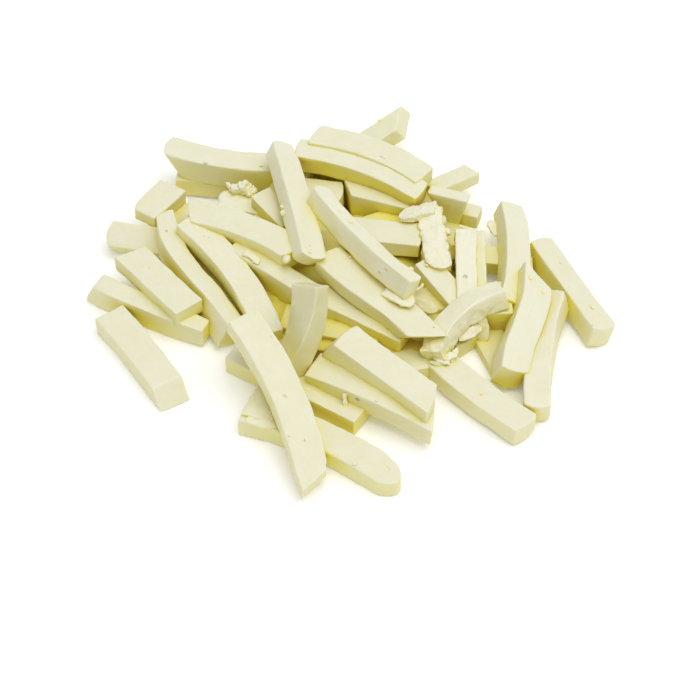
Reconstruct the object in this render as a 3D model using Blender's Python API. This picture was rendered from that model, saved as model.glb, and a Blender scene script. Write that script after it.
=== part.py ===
"""Fior di latte mozzarella cut into strips, lying in a loose heap.

The heap is one solid: every strip at its true size, fused with its neighbours and with a low mound
under them, and cut flat where it rests. Metres, +Z up. The origin is under the middle of the heap's
box, on the surface that the heap lies on.
"""

import math
from typing import NamedTuple

import bmesh
import bpy
from mathutils import Vector

MM = 0.001

COLLECTION_NAME = "fior_di_latte_heap"
NODE_NAME = "mozzarella_strips"

# A usual strip's cut section, in millimetres
STRIP_WIDTH = 9.2
STRIP_THICKNESS = 6.0

# A strip is cut across about this often, in millimetres, so that it can bend
BEND_SPACING = 6.5

# The last part of a strip, as a share of its half length, where slanted cuts and tapers act
END_SHARE = 0.65

# A sway peaks at this share of its value without the factor below
SWAY_FACTOR = 2.6

# The mound under the strips, in millimetres
MOUND_CENTRE = (-3.0, 16.0)
MOUND_RADII = (38.0, 32.0, 8.5)

# How far the heap's box is off the middle of the layout below, in millimetres
LAYOUT_SHIFT = (-0.6, 7.2)

# The floor's cutter, in millimetres
CUTTER_SIZE = 300.0

# Points closer than this are one point, in metres
WELD_DISTANCE = 0.00005

CHEESE_COLOUR = (0.87, 0.84, 0.66, 1.0)
CHEESE_ROUGHNESS = 0.45


class Strip(NamedTuple):
    """One strip, from its tail to its nose. Lengths are millimetres, angles are degrees.

    x, y and z place its middle. turn is its heading seen from above, pitch lifts its nose, and roll
    leans it to its right. bow and arch bend it to its left and up, sway makes an S of it, and twist
    winds it. A slanted end is given for its cut seen from above and for its cut seen from the side.
    """

    name: str
    x: float
    y: float
    z: float
    turn: float
    length: float
    pitch: float = 0.0
    roll: float = 0.0
    bow: float = 0.0
    arch: float = 0.0
    sway: float = 0.0
    twist: float = 0.0
    width: float = STRIP_WIDTH
    thick: float = STRIP_THICKNESS
    nose: float = 0.0
    nose_up: float = 0.0
    nose_size: float = 1.0
    tail: float = 0.0
    tail_up: float = 0.0
    tail_size: float = 1.0


LEFT_STRIPS = [
    Strip("lone", -57.5, -14.3, 3, -56, 33.5, bow=0.5, width=9, nose_up=-35),
    Strip("left_low", -55.9, 2.2, 3.8, -28, 37.2, bow=-0.6, width=6, thick=7.6, nose_size=0.8, tail_up=25),
    Strip("left_short", -53, 7, 9, -50, 28, thick=5.2, tail=15),
    Strip("left_block", -57, 28, 5, -13, 26, width=8, thick=5.5, roll=30),
    Strip("left_cap", -55, 38, 10.3, -124, 14, width=9, thick=5, nose_size=0.8),
    Strip(
        "left_wave", -42.6, 11.6, 7.5, -63, 46,
        pitch=-6, roll=-12, bow=-2.5, sway=1, twist=-24, width=6, thick=9, tail=-20, tail_size=0.9,
    ),
    Strip("left_bow", -34, 7, 10.5, -57, 46, pitch=-9, bow=3, width=8),
    Strip("left_over", -30, 20, 15, -30, 36, pitch=3, bow=2.2, width=9, tail=-25),
    Strip("back_left", -33.5, 54.6, 11.1, -10, 37, bow=-1.5, arch=-0.8, width=8, thick=8, tail_up=-36),
    Strip("back_shade", -37, 55, 4, -6, 28),
    Strip("back_scrap", -31, 38, 8.6, -10, 14, width=8),
]

MIDDLE_STRIPS = [
    Strip(
        "post", -15.5, 29, 19.5, -78, 47,
        pitch=-1, roll=-25, bow=0.4, width=7.4, nose_up=30, tail_size=0.85,
    ),
    Strip("wedge", -21, 32, 12, -54, 16, width=7, thick=7),
    Strip("under_over", -20, 8, 10, -40, 32, width=6, thick=9),
    Strip("middle", 4, 12, 21.5, -52, 44, pitch=-4, roll=-20, bow=-1.5, width=5, thick=6.5, tail=20),
    Strip("top_front", 3, 43.8, 16, -24.5, 41, pitch=-3, bow=3, width=8, nose=-10),
    Strip("top_back", 6, 49.3, 16.7, -26, 37, pitch=-3, bow=3, width=8.5, tail=15),
    Strip("spike", 7, 66, 9, 33, 24, pitch=14, width=7, nose=45, nose_up=-20),
    Strip("top_right", 30.5, 50.5, 7, 32, 15, width=5.5, thick=4.5, nose=-20),
    Strip("wedge_right", 29.8, 36.2, 10.2, -20, 7.5, width=3.5, thick=12, tail_up=-28, nose_up=10),
    Strip("wedge_tip", 33.4, 37, 7.5, -20, 10, width=5, thick=5),
    Strip("under_top", -10.3, 42, 9.8, -10, 18),
    Strip("beneath_top", 9.2, 38.3, 10, -19, 20, width=6, thick=8, tail=-35),
    Strip("shelf", 10, 23, 12, -8, 22, thick=5, nose=-8),
    Strip("torn", 24, 21, 12.2, -84, 23.5, pitch=-8, width=8, nose=18),
    Strip("upright", 33, 12, 10, -91, 24, pitch=-10, width=6, thick=7),
    Strip("upright_pair", 37, 15, 8, -91, 22, pitch=-8, width=3.5),
    Strip("between", 40, 21, 4.5, -8, 18, width=7, thick=5),
    Strip("tucked", 27, 5, 6.5, -56, 22, pitch=-7, width=7, thick=10),
    Strip("long_middle", 6.8, -2.3, 14.1, -45, 38, pitch=-6, sway=0.6, thick=5, nose=38, nose_up=40),
    Strip("hidden_middle", 4, -5, 7, -31, 28, pitch=-3, thick=9),
    Strip("cross_low", 19, -18, 3.6, -165, 15, width=8),
]

RIGHT_STRIPS = [
    Strip("torn_bow", 32.4, -10.8, 10.4, -134, 30, pitch=-9, roll=20, bow=-4.5, width=6.8, thick=6.2),
    Strip(
        "right_upright", 45.2, 18, 8.5, -93, 38,
        pitch=-2, roll=-22, bow=1.9, width=7.5, thick=6.5, tail=5, tail_size=0.9,
    ),
    Strip(
        "right_wave", 47.3, -9.2, 8.2, -104, 34,
        pitch=-8, roll=-24, bow=0.5, sway=-0.8, width=8.4, thick=7, nose=-8, nose_up=-14, tail=40,
    ),
    Strip(
        "right_lean", 54, -15.6, 5, -101, 42,
        pitch=-3, roll=10, bow=-1.5, twist=-20, width=7.2, thick=6.5,
    ),
    Strip("right_long", 62.3, 9.4, 4, -66, 39, roll=-12, width=7.4, thick=6.8),
    Strip("right_low", 35.4, -29.4, 4, -46, 34, bow=-1, width=8.5, nose=5),
    Strip("under_right", 41, 1.2, 5, -88, 12, width=8, thick=10),
]

FRONT_STRIPS = [
    Strip("front_thick", 9.2, -28, 11.5, -41, 33.5, pitch=-5, thick=8, nose=-25, tail_up=25),
    Strip("front_pitted", 6.05, -31.6, 6.1, -30, 36.6, arch=1.3, nose=-25),
    Strip("front_under", -14, -25, 3, -33, 42),
    Strip("front_long", -19, -37.7, 11.6, -66, 51, pitch=-17, bow=2.6, nose=-28, nose_size=0.85),
    Strip("front_low", -7.5, -47.6, 3, -31, 48, bow=3, nose_size=0.85),
    Strip("front_stub", -21.5, -33, 4, -112, 15, width=10),
    Strip("curl", -14, -15.8, 14.8, -117, 27, pitch=-54, roll=28, bow=2, width=8, thick=6.5, nose_size=0.8),
]

# Strips under and behind the ones above, which carry them
HIDDEN_STRIPS = [
    Strip("below_left", -31, 30, 2.7, 12, 44),
    Strip("below_cap", -51, 34, 4, 80, 15, width=8, thick=8),
    Strip("below_short", -47, 3.6, 2.4, 5, 17, width=7, thick=4.6),
    Strip("below_post", -8, 38, 2.8, 80, 50),
    Strip("below_top", 9, 48, 2.6, -8, 44),
    Strip("below_middle", 2, 12, 3.5, -35, 55),
    Strip("below_right", 23, 17, 2.9, 62, 38),
    Strip("below_bow", -30, 2, 2.5, -48, 44),
    Strip("below_front", 8, -14, 3.5, -12, 40),
    Strip("second_left", -20, 40, 8, 70, 38),
    Strip("second_top", 4, 54, 8.4, -18, 38),
    Strip("second_middle", -2, 25, 7.5, 25, 50),
    Strip("second_right", 18, 30, 5.5, -50, 34),
    Strip("second_front", -5, -7, 5, -15, 28),
    Strip("second_centre", 20, 2, 5, 15, 40),
    Strip("back_floor", -10, 58, 3.5, 8, 48),
    Strip("back_right", 24, 42, 3.5, -70, 36),
    Strip("right_floor", 47.5, 9, 2.7, 87, 26),
    Strip("below_wave", 41, -12.5, 1.6, -70, 20, width=9, thick=3.2),
    Strip("below_torn", 28, -4.8, 2.6, -50, 15, width=8, thick=5),
]

STRIPS = LEFT_STRIPS + MIDDLE_STRIPS + RIGHT_STRIPS + FRONT_STRIPS + HIDDEN_STRIPS


def clear_scene():
    """Remove all that the file holds when the script starts."""
    for thing in list(bpy.data.objects):
        bpy.data.objects.remove(thing)


def new_collection(name):
    """A new collection in the scene."""
    collection = bpy.data.collections.new(name)
    bpy.context.scene.collection.children.link(collection)
    return collection


def move_to(thing, collection):
    """Put an object in one collection and take it out of every other."""
    for other in list(thing.users_collection):
        other.objects.unlink(thing)
    collection.objects.link(thing)


def cheese_material():
    """Moist white curd with a warm cream tint."""
    material = bpy.data.materials.new("fior_di_latte")
    material.use_nodes = True
    shader = material.node_tree.nodes["Principled BSDF"]
    shader.inputs["Base Color"].default_value = CHEESE_COLOUR
    shader.inputs["Roughness"].default_value = CHEESE_ROUGHNESS
    shader.inputs["Metallic"].default_value = 0.0
    return material


def tangent(degrees):
    return math.tan(math.radians(degrees))


def end_share(t):
    """0 in a strip's middle, rising to 1 at its end. t is 1 at that end."""
    return max(0.0, (t - 1 + END_SHARE) / END_SHARE)


def add_bar(strip):
    """The strip before it bends: a bar along +X with its slanted and tapered ends."""
    bpy.ops.mesh.primitive_cube_add(size=1)
    bar = bpy.context.object
    bar.name = strip.name

    shape = bmesh.new()
    shape.from_mesh(bar.data)
    lengthways = [edge for edge in shape.edges if abs(edge.verts[0].co.x - edge.verts[1].co.x) > 0.5]
    cuts = max(1, round(strip.length / BEND_SPACING) - 1)
    bmesh.ops.subdivide_edges(shape, edges=lengthways, cuts=cuts, use_grid_fill=True)
    for point in shape.verts:
        t = 2 * point.co.x
        at_nose = end_share(t)
        at_tail = end_share(-t)
        size = 1 + (strip.nose_size - 1) * at_nose**2 + (strip.tail_size - 1) * at_tail**2
        left = point.co.y * strip.width
        up = point.co.z * strip.thick
        slant = at_nose * (left * tangent(strip.nose) + up * tangent(strip.nose_up))
        slant += at_tail * (left * tangent(strip.tail) + up * tangent(strip.tail_up))
        along = strip.length * (t + 1) / 2 + slant
        point.co = Vector((along, left * size, up * size)) * MM
    shape.to_mesh(bar.data)
    shape.free()
    return bar


def centre_line(strip, t):
    """The point of a strip's centre line at t, from -1 at its tail to 1 at its nose, in millimetres."""
    turn = math.radians(strip.turn)
    pitch = math.radians(strip.pitch)
    ahead = Vector((math.cos(turn) * math.cos(pitch), math.sin(turn) * math.cos(pitch), math.sin(pitch)))
    left = Vector((-math.sin(turn), math.cos(turn), 0.0))
    up = ahead.cross(left)
    side = strip.bow * (1 - t**2) + strip.sway * SWAY_FACTOR * (t - t**3)
    lift = strip.arch * (1 - t**2)
    middle = Vector((strip.x - LAYOUT_SHIFT[0], strip.y - LAYOUT_SHIFT[1], strip.z))
    return middle + ahead * (t * strip.length / 2) + left * side + up * lift


def add_path(strip):
    """The curve that a strip follows."""
    data = bpy.data.curves.new(strip.name + "_path", "CURVE")
    data.dimensions = "3D"
    data.twist_mode = "Z_UP"
    data.use_deform_bounds = False
    places = (-1.0, -0.5, 0.0, 0.5, 1.0)
    line = data.splines.new("BEZIER")
    line.bezier_points.add(len(places) - 1)
    for point, t in zip(line.bezier_points, places):
        point.co = centre_line(strip, t) * MM
        point.handle_left_type = "AUTO"
        point.handle_right_type = "AUTO"
        point.tilt = math.radians(strip.roll + strip.twist * t / 2)
    path = bpy.data.objects.new(data.name, data)
    bpy.context.scene.collection.objects.link(path)
    return path


def add_strip(strip):
    """A bar bent along its path."""
    bar = add_bar(strip)
    path = add_path(strip)
    bend = bar.modifiers.new("bend", "CURVE")
    bend.object = path
    bend.deform_axis = "POS_X"
    bpy.ops.object.modifier_apply(modifier=bend.name)
    bpy.data.objects.remove(path)
    return bar


def add_mound():
    """The low mound that fills the heap's inside."""
    bpy.ops.mesh.primitive_uv_sphere_add(segments=20, ring_count=10, radius=1)
    mound = bpy.context.object
    place = Vector((MOUND_CENTRE[0] - LAYOUT_SHIFT[0], MOUND_CENTRE[1] - LAYOUT_SHIFT[1], 0.0))
    for point in mound.data.vertices:
        point.co = (place + point.co * Vector(MOUND_RADII)) * MM
    return mound


def add_floor_cutter():
    """A box whose top is the surface that the heap lies on."""
    bpy.ops.mesh.primitive_cube_add(size=CUTTER_SIZE * MM, location=(0, 0, -CUTTER_SIZE / 2 * MM))
    cutter = bpy.context.object
    cutter.name = "floor_cutter"
    cutter.hide_render = True
    cutter.display_type = "WIRE"
    return cutter


def shells(shape):
    """The closed shells of a mesh, each a list of faces."""
    left = set(shape.faces)
    found = []
    while left:
        shell = []
        todo = [left.pop()]
        while todo:
            face = todo.pop()
            shell.append(face)
            for edge in face.edges:
                for other in edge.link_faces:
                    if other in left:
                        left.remove(other)
                        todo.append(other)
        found.append(shell)
    return found


def keep_outer_shell(thing):
    """Fill the hollows that joining has sealed, and drop loose scraps."""
    shape = bmesh.new()
    shape.from_mesh(thing.data)
    bmesh.ops.remove_doubles(shape, verts=shape.verts, dist=WELD_DISTANCE)
    bmesh.ops.dissolve_degenerate(shape, edges=shape.edges, dist=WELD_DISTANCE)
    found = sorted(shells(shape), key=len)
    for shell in found[:-1]:
        bmesh.ops.delete(shape, geom=shell, context="FACES")
    bmesh.ops.triangulate(shape, faces=shape.faces)
    shape.to_mesh(thing.data)
    shape.free()
    return len(found)


def main():
    clear_scene()
    parts = new_collection(COLLECTION_NAME)
    cutters = new_collection("cutters")
    joined = new_collection("strips_to_join")

    heap = add_mound()
    heap.name = NODE_NAME
    move_to(heap, parts)
    heap.data.materials.append(cheese_material())
    for strip in STRIPS:
        move_to(add_strip(strip), joined)
    floor = add_floor_cutter()
    move_to(floor, cutters)

    bpy.context.view_layer.objects.active = heap
    union = heap.modifiers.new("join strips", "BOOLEAN")
    union.operation = "UNION"
    union.operand_type = "COLLECTION"
    union.collection = joined
    flat = heap.modifiers.new("flat underside", "BOOLEAN")
    flat.operation = "DIFFERENCE"
    flat.object = floor
    bpy.ops.object.modifier_apply(modifier=union.name)
    bpy.ops.object.modifier_apply(modifier=flat.name)
    for strip in list(joined.objects):
        bpy.data.objects.remove(strip)
    bpy.data.collections.remove(joined)
    count = keep_outer_shell(heap)

    low = [min(point.co[axis] for point in heap.data.vertices) / MM for axis in range(3)]
    high = [max(point.co[axis] for point in heap.data.vertices) / MM for axis in range(3)]
    print("shells", count, "triangles", len(heap.data.polygons))
    print("box in mm", [round(value, 2) for value in low], [round(value, 2) for value in high])


if __name__ == "__main__":
    main()
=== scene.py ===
# %% [markdown]
# # A heap of fior di latte strips
# Fior di latte is a fresh cheese of cow's milk, stretched in hot water like all mozzarella. For a
# pizza it is cut into strips a little thinner than a finger, and they are tipped out in a loose heap.
# This lesson models every strip as by hand: a bar with softly rounded edges, slanted ends, a little
# unevenness and a bend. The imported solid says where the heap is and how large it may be.

# %% Load the frame
import math
import random
from typing import NamedTuple

import bmesh
import bpy
from mathutils import Matrix, Quaternion, Vector
from mathutils.bvhtree import BVHTree


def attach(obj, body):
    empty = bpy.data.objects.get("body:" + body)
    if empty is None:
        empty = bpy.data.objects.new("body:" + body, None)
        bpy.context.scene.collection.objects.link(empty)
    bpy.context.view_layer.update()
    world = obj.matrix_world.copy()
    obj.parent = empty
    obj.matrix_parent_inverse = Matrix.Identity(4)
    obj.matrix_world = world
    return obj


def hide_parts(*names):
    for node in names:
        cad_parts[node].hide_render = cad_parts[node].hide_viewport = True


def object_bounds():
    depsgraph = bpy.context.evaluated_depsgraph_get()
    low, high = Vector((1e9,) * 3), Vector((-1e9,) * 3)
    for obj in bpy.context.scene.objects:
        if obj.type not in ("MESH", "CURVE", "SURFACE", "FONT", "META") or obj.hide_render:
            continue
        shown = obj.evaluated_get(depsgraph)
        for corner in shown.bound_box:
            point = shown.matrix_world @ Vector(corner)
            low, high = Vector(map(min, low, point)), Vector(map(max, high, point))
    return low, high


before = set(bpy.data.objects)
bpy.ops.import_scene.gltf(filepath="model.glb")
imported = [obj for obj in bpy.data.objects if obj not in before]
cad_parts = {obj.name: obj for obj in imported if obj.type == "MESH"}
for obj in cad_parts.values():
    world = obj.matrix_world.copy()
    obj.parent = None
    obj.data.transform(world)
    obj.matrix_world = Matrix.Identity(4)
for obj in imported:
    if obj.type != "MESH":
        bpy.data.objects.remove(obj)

MM = 0.001
NODE = "mozzarella_strips"
CAD_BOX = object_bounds()


def in_mm(box):
    """A box's two corners in millimetres, rounded for printing."""
    return [[round(value / MM, 1) for value in corner] for corner in box]


print("the heap's box in mm:", in_mm(CAD_BOX))

# %% [markdown]
# ## The camera
# A long lens looks down on the heap from the front, so the strips' tops and front sides both show.
# The camera is turned by pointing its -Z axis at a target, which is easier to read than three angles.

# %% Place the camera
TARGET = Vector((-2.6, -11.9, 0.0)) * MM
LOOK_DOWN = math.radians(48)
DISTANCE = 0.524
LENS = 100
SENSOR_WIDTH = 36

camera_data = bpy.data.cameras.new("camera")
camera_data.lens = LENS
camera_data.sensor_width = SENSOR_WIDTH
camera_data.clip_start = 0.01
camera = bpy.data.objects.new("camera", camera_data)
bpy.context.scene.collection.objects.link(camera)
towards_camera = Vector((0, -math.cos(LOOK_DOWN), math.sin(LOOK_DOWN)))
camera.location = TARGET + towards_camera * DISTANCE
camera.rotation_euler = towards_camera.to_track_quat("Z", "Y").to_euler()
bpy.context.scene.camera = camera
print("the camera stands", round(camera.location.z, 3), "m above the floor")

# %% [markdown]
# ## Light and floor
# White cheese shows its shape only by soft shading, so the light is one large softbox overhead, a
# little to the right, in a bright white room. The floor is almost white and throws light back up
# into the heap. It glows a little, as a light table does, so that the shadows on it stay faint. The
# Standard view keeps the pale colours as they are.

# %% Set the light and the floor
SOFTBOX_SIZE = 1.2
SOFTBOX_PLACE = Vector((0.3, -0.15, 1.3))
SOFTBOX_WATTS = 10.2
ROOM_BRIGHTNESS = 0.66
FLOOR_SIZE = 4.0
FLOOR_GLOW = 0.10
FLOOR_COLOUR = (0.95, 0.95, 0.95, 1)
FLOOR_ROUGHNESS = 0.9
FLOOR_SHINE = 0.1
WHITE = (1, 1, 1, 1)

softbox_data = bpy.data.lights.new("softbox", "AREA")
softbox_data.shape = "SQUARE"
softbox_data.size = SOFTBOX_SIZE
softbox_data.energy = SOFTBOX_WATTS
softbox = bpy.data.objects.new("softbox", softbox_data)
bpy.context.scene.collection.objects.link(softbox)
softbox.location = SOFTBOX_PLACE
softbox.rotation_euler = SOFTBOX_PLACE.to_track_quat("Z", "Y").to_euler()

room = bpy.data.worlds.new("white room")
room.use_nodes = True
room.node_tree.nodes["Background"].inputs["Color"].default_value = WHITE
room.node_tree.nodes["Background"].inputs["Strength"].default_value = ROOM_BRIGHTNESS
bpy.context.scene.world = room
bpy.context.scene.view_settings.view_transform = "Standard"

bpy.ops.object.select_all(action="DESELECT")
bpy.ops.mesh.primitive_plane_add(size=FLOOR_SIZE)
floor = bpy.context.object
floor.name = "floor"
floor_paint = bpy.data.materials.new("pale_floor")
floor_paint.use_nodes = True
floor_shader = floor_paint.node_tree.nodes["Principled BSDF"]
floor_shader.inputs["Base Color"].default_value = FLOOR_COLOUR
floor_shader.inputs["Emission Color"].default_value = WHITE
floor_shader.inputs["Emission Strength"].default_value = FLOOR_GLOW
floor_shader.inputs["Roughness"].default_value = FLOOR_ROUGHNESS
floor_shader.inputs["Specular IOR Level"].default_value = FLOOR_SHINE
floor.data.materials.append(floor_paint)
print("a", FLOOR_SIZE, "m floor under one softbox")

# %% [markdown]
# ## Two effects that the cheese's materials share
# Fresh curd is never one flat white. It has pale clouds a few millimetres across and a finer mottling
# where whey sits between the fibres. The first node group paints these, and it also paints shade:
# a darker yellow in the nooks, where light has bounced from strip to strip, and brown in the narrowest
# gaps, as much as the painted shade stored on each point asks for. The second group gives the height
# of the fine grain that the blade leaves, drawn out along the strip. Both read the place on the unbent
# bar, which every strip carries as an attribute, so the pattern bends with it.

# %% Build the node groups


def new_group(name, inputs, outputs):
    """An empty shader node group with its sockets, and its input and output nodes."""
    group = bpy.data.node_groups.new(name, "ShaderNodeTree")
    for label, kind, value in inputs:
        socket = group.interface.new_socket(label, in_out="INPUT", socket_type=kind)
        if value is not None:
            socket.default_value = value
    for label, kind in outputs:
        group.interface.new_socket(label, in_out="OUTPUT", socket_type=kind)
    return group, group.nodes.new("NodeGroupInput"), group.nodes.new("NodeGroupOutput")


def add_noise(tree, vector, scale, detail, stretch=(1, 1, 1)):
    """Noise over a place that is drawn out by stretch. Returns the socket with its value."""
    mapping = tree.nodes.new("ShaderNodeMapping")
    mapping.inputs["Scale"].default_value = stretch
    texture = tree.nodes.new("ShaderNodeTexNoise")
    texture.inputs["Scale"].default_value = scale
    texture.inputs["Detail"].default_value = detail
    tree.links.new(vector, mapping.inputs["Vector"])
    tree.links.new(mapping.outputs["Vector"], texture.inputs["Vector"])
    return texture.outputs["Fac"]


def add_ramp(tree, value, limits):
    """Stretch the values between two limits over 0 to 1. Returns the socket with the result."""
    node = tree.nodes.new("ShaderNodeMapRange")
    node.inputs["From Min"].default_value, node.inputs["From Max"].default_value = limits
    tree.links.new(value, node.inputs["Value"])
    return node.outputs["Result"]


def add_math(tree, operation, first, second):
    """Arithmetic on two sockets, or on a socket and a number. Returns the socket with the result."""
    node = tree.nodes.new("ShaderNodeMath")
    node.operation = operation
    for socket, value in zip(node.inputs, (first, second)):
        if isinstance(value, (int, float)):
            socket.default_value = value
        else:
            tree.links.new(value, socket)
    return node.outputs["Value"]


def add_mix(tree, share, first, second):
    """Mix two colours, each a socket or four numbers. Returns the socket with the colour."""
    node = tree.nodes.new("ShaderNodeMix")
    node.data_type = "RGBA"
    node.clamp_factor = True
    tree.links.new(share, node.inputs["Factor"])
    for socket, value in ((node.inputs[6], first), (node.inputs[7], second)):
        if isinstance(value, tuple):
            socket.default_value = value
        else:
            tree.links.new(value, socket)
    return node.outputs[2]


# Scales are features per millimetre. A range is where a pattern begins and where it is full
CLOUD_SCALE = 0.16
CLOUD_RANGE = (0.3, 0.7)
CLOUD_SHARE = 0.45
MOTTLE_SCALE = 1.1
MOTTLE_RANGE = (0.35, 0.7)
MOTTLE_STRETCH = (0.5, 1, 1)
# Where the painted shade begins and where it is full, and where the brown of the narrowest gaps begins and
# is full
SHADE_RANGE = (0.06, 0.66)
DARKEST_SHADE_RANGE = (0.68, 0.95)
tint_and_shade, tint_in, tint_out = new_group(
    "curd_tint_and_shade",
    [
        ("Place", "NodeSocketVector", None),
        ("Tone", "NodeSocketFloat", 0.5),
        ("Shade", "NodeSocketFloat", 0.0),
        ("Milky", "NodeSocketColor", WHITE),
        ("Creamy", "NodeSocketColor", WHITE),
        ("Shaded", "NodeSocketColor", WHITE),
        ("Gap", "NodeSocketColor", WHITE),
        ("Mottling", "NodeSocketFloat", 0.3),
    ],
    [("Color", "NodeSocketColor")],
)
clouds = add_ramp(tint_and_shade, add_noise(tint_and_shade, tint_in.outputs["Place"], CLOUD_SCALE, 3), CLOUD_RANGE)
mottle = add_noise(tint_and_shade, tint_in.outputs["Place"], MOTTLE_SCALE, 4, MOTTLE_STRETCH)
mottle = add_ramp(tint_and_shade, mottle, MOTTLE_RANGE)
cloudy = add_math(tint_and_shade, "MULTIPLY", clouds, CLOUD_SHARE)
share = add_math(tint_and_shade, "ADD", cloudy, add_math(tint_and_shade, "MULTIPLY", mottle, tint_in.outputs["Mottling"]))
share = add_math(tint_and_shade, "ADD", share, add_math(tint_and_shade, "SUBTRACT", tint_in.outputs["Tone"], 0.5))
body_colour = add_mix(tint_and_shade, share, tint_in.outputs["Milky"], tint_in.outputs["Creamy"])
# Painted shade: the stored amount turns the body colour towards a shaded yellow, and in the narrowest gaps
# towards brown
shade_share = add_ramp(tint_and_shade, tint_in.outputs["Shade"], SHADE_RANGE)
darkest_shade_share = add_ramp(tint_and_shade, tint_in.outputs["Shade"], DARKEST_SHADE_RANGE)
shaded_colour = add_mix(tint_and_shade, shade_share, body_colour, tint_in.outputs["Shaded"])
tint_and_shade.links.new(add_mix(tint_and_shade, darkest_shade_share, shaded_colour, tint_in.outputs["Gap"]), tint_out.inputs["Color"])

FIBRE_SCALE = 0.9
FIBRE_STRETCH = (0.25, 1, 1)
SPECK_SCALE = 3.2
WET_RANGE = (0.35, 0.75)
grain, grain_in, grain_out = new_group(
    "curd_grain",
    [("Place", "NodeSocketVector", None), ("Coarse", "NodeSocketFloat", 0.5)],
    [("Height", "NodeSocketFloat"), ("Wetness", "NodeSocketFloat")],
)
fibres = add_noise(grain, grain_in.outputs["Place"], FIBRE_SCALE, 3, FIBRE_STRETCH)
specks = add_noise(grain, grain_in.outputs["Place"], SPECK_SCALE, 4)
height = add_math(grain, "ADD", add_math(grain, "MULTIPLY", fibres, grain_in.outputs["Coarse"]), specks)
grain.links.new(height, grain_out.inputs["Height"])
grain.links.new(add_ramp(grain, fibres, WET_RANGE), grain_out.inputs["Wetness"])
print("node groups:", [group.name for group in (tint_and_shade, grain)])

# %% [markdown]
# ## The cheese's materials
# Light goes a little way into curd and comes out beside where it went in, so the material scatters
# light below the surface. Its roughness follows the grain: the wet spots shine a little more. The cut
# faces, the torn bits and the smooth outer skin are the same cheese, so they share the node groups
# and differ in their values.

# %% Mix the materials
CURD_IOR = 1.4
SCATTER_COLOURS = (1.0, 0.85, 0.45)
BUMP_STRENGTH = 0.6


class Finish(NamedTuple):
    """One finish of the cheese: its colours, its grain, its shine and how far light goes into it.

    The height of a bump and the reach of the scatter are millimetres.
    """

    milky: tuple
    creamy: tuple
    # The next two colours are painted shade, for the nooks and for the narrowest gaps
    shaded: tuple
    gap: tuple
    mottling: float
    coarse: float
    bump: float
    dull: float
    wet: float
    scatter: float
    weight: float


# Each finish's third and fourth colours are painted shade, for the nooks and for the narrowest gaps
CUT = Finish(
    milky=(0.78, 0.765, 0.60, 1), creamy=(0.745, 0.715, 0.49, 1), shaded=(0.82, 0.735, 0.115, 1),
    gap=(0.60, 0.42, 0.06, 1), mottling=0.35, coarse=0.6, bump=0.06, dull=0.6, wet=0.45, scatter=0.5,
    weight=0.35,
)
TORN = Finish(
    milky=(0.82, 0.80, 0.65, 1), creamy=(0.78, 0.755, 0.54, 1), shaded=(0.83, 0.76, 0.20, 1),
    gap=(0.80, 0.60, 0.09, 1), mottling=0.5, coarse=1.4, bump=0.10, dull=0.6, wet=0.4, scatter=0.4,
    weight=0.25,
)
SKIN = Finish(
    milky=(0.70, 0.68, 0.47, 1), creamy=(0.64, 0.61, 0.37, 1), shaded=(0.70, 0.63, 0.15, 1),
    gap=(0.68, 0.48, 0.06, 1), mottling=0.25, coarse=0.8, bump=0.04, dull=0.45, wet=0.3, scatter=0.8,
    weight=0.5,
)


def add_attribute(tree, name):
    """A node that reads what a piece wrote down under this name."""
    node = tree.nodes.new("ShaderNodeAttribute")
    node.attribute_name = name
    return node


def cheese_material(name, finish):
    """A Principled BSDF whose colour, roughness and normal come from the shared groups."""
    material = bpy.data.materials.new(name)
    material.use_nodes = True
    tree = material.node_tree
    shader = tree.nodes["Principled BSDF"]
    place = add_attribute(tree, "cut_space")

    colour = tree.nodes.new("ShaderNodeGroup")
    colour.node_tree = tint_and_shade
    for label in ("Milky", "Creamy", "Shaded", "Gap", "Mottling"):
        colour.inputs[label].default_value = getattr(finish, label.lower())
    tree.links.new(place.outputs["Vector"], colour.inputs["Place"])
    tree.links.new(add_attribute(tree, "tone").outputs["Fac"], colour.inputs["Tone"])
    # The stored amount of painted shade darkens the colour towards the shaded yellow and the brown
    tree.links.new(add_attribute(tree, "painted_shade").outputs["Fac"], colour.inputs["Shade"])
    tree.links.new(colour.outputs["Color"], shader.inputs["Base Color"])

    relief = tree.nodes.new("ShaderNodeGroup")
    relief.node_tree = grain
    relief.inputs["Coarse"].default_value = finish.coarse
    tree.links.new(place.outputs["Vector"], relief.inputs["Place"])
    bump = tree.nodes.new("ShaderNodeBump")
    bump.inputs["Strength"].default_value = BUMP_STRENGTH
    bump.inputs["Distance"].default_value = finish.bump * MM
    tree.links.new(relief.outputs["Height"], bump.inputs["Height"])
    tree.links.new(bump.outputs["Normal"], shader.inputs["Normal"])
    roughness = tree.nodes.new("ShaderNodeMapRange")
    roughness.inputs["To Min"].default_value = finish.dull
    roughness.inputs["To Max"].default_value = finish.wet
    tree.links.new(relief.outputs["Wetness"], roughness.inputs["Value"])
    tree.links.new(roughness.outputs["Result"], shader.inputs["Roughness"])

    shader.inputs["IOR"].default_value = CURD_IOR
    shader.inputs["Subsurface Weight"].default_value = finish.weight
    shader.inputs["Subsurface Radius"].default_value = SCATTER_COLOURS
    shader.inputs["Subsurface Scale"].default_value = finish.scatter * MM
    return material


cut_curd = cheese_material("fior_di_latte_cut", CUT)
torn_curd = cheese_material("fior_di_latte_torn", TORN)
skin_curd = cheese_material("fior_di_latte_skin", SKIN)
print("materials:", [material.name for material in (cut_curd, torn_curd, skin_curd)])

# %% [markdown]
# ## What describes a strip
# Each strip is a short line of numbers: its middle, its heading seen from above and its length, and
# then only what is special about it, such as a bow, a lean or a slanted end. Giving the headings in
# degrees and the sizes in millimetres keeps the list readable, and a function does the rest. The
# places are measured from a point in the heap that isn't the frame's zero, so one shift moves all.

# %% Describe a strip
STRIP_WIDTH = 9.2
STRIP_THICKNESS = 6.0
LAYOUT_SHIFT = (-0.6, 7.2)


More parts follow.
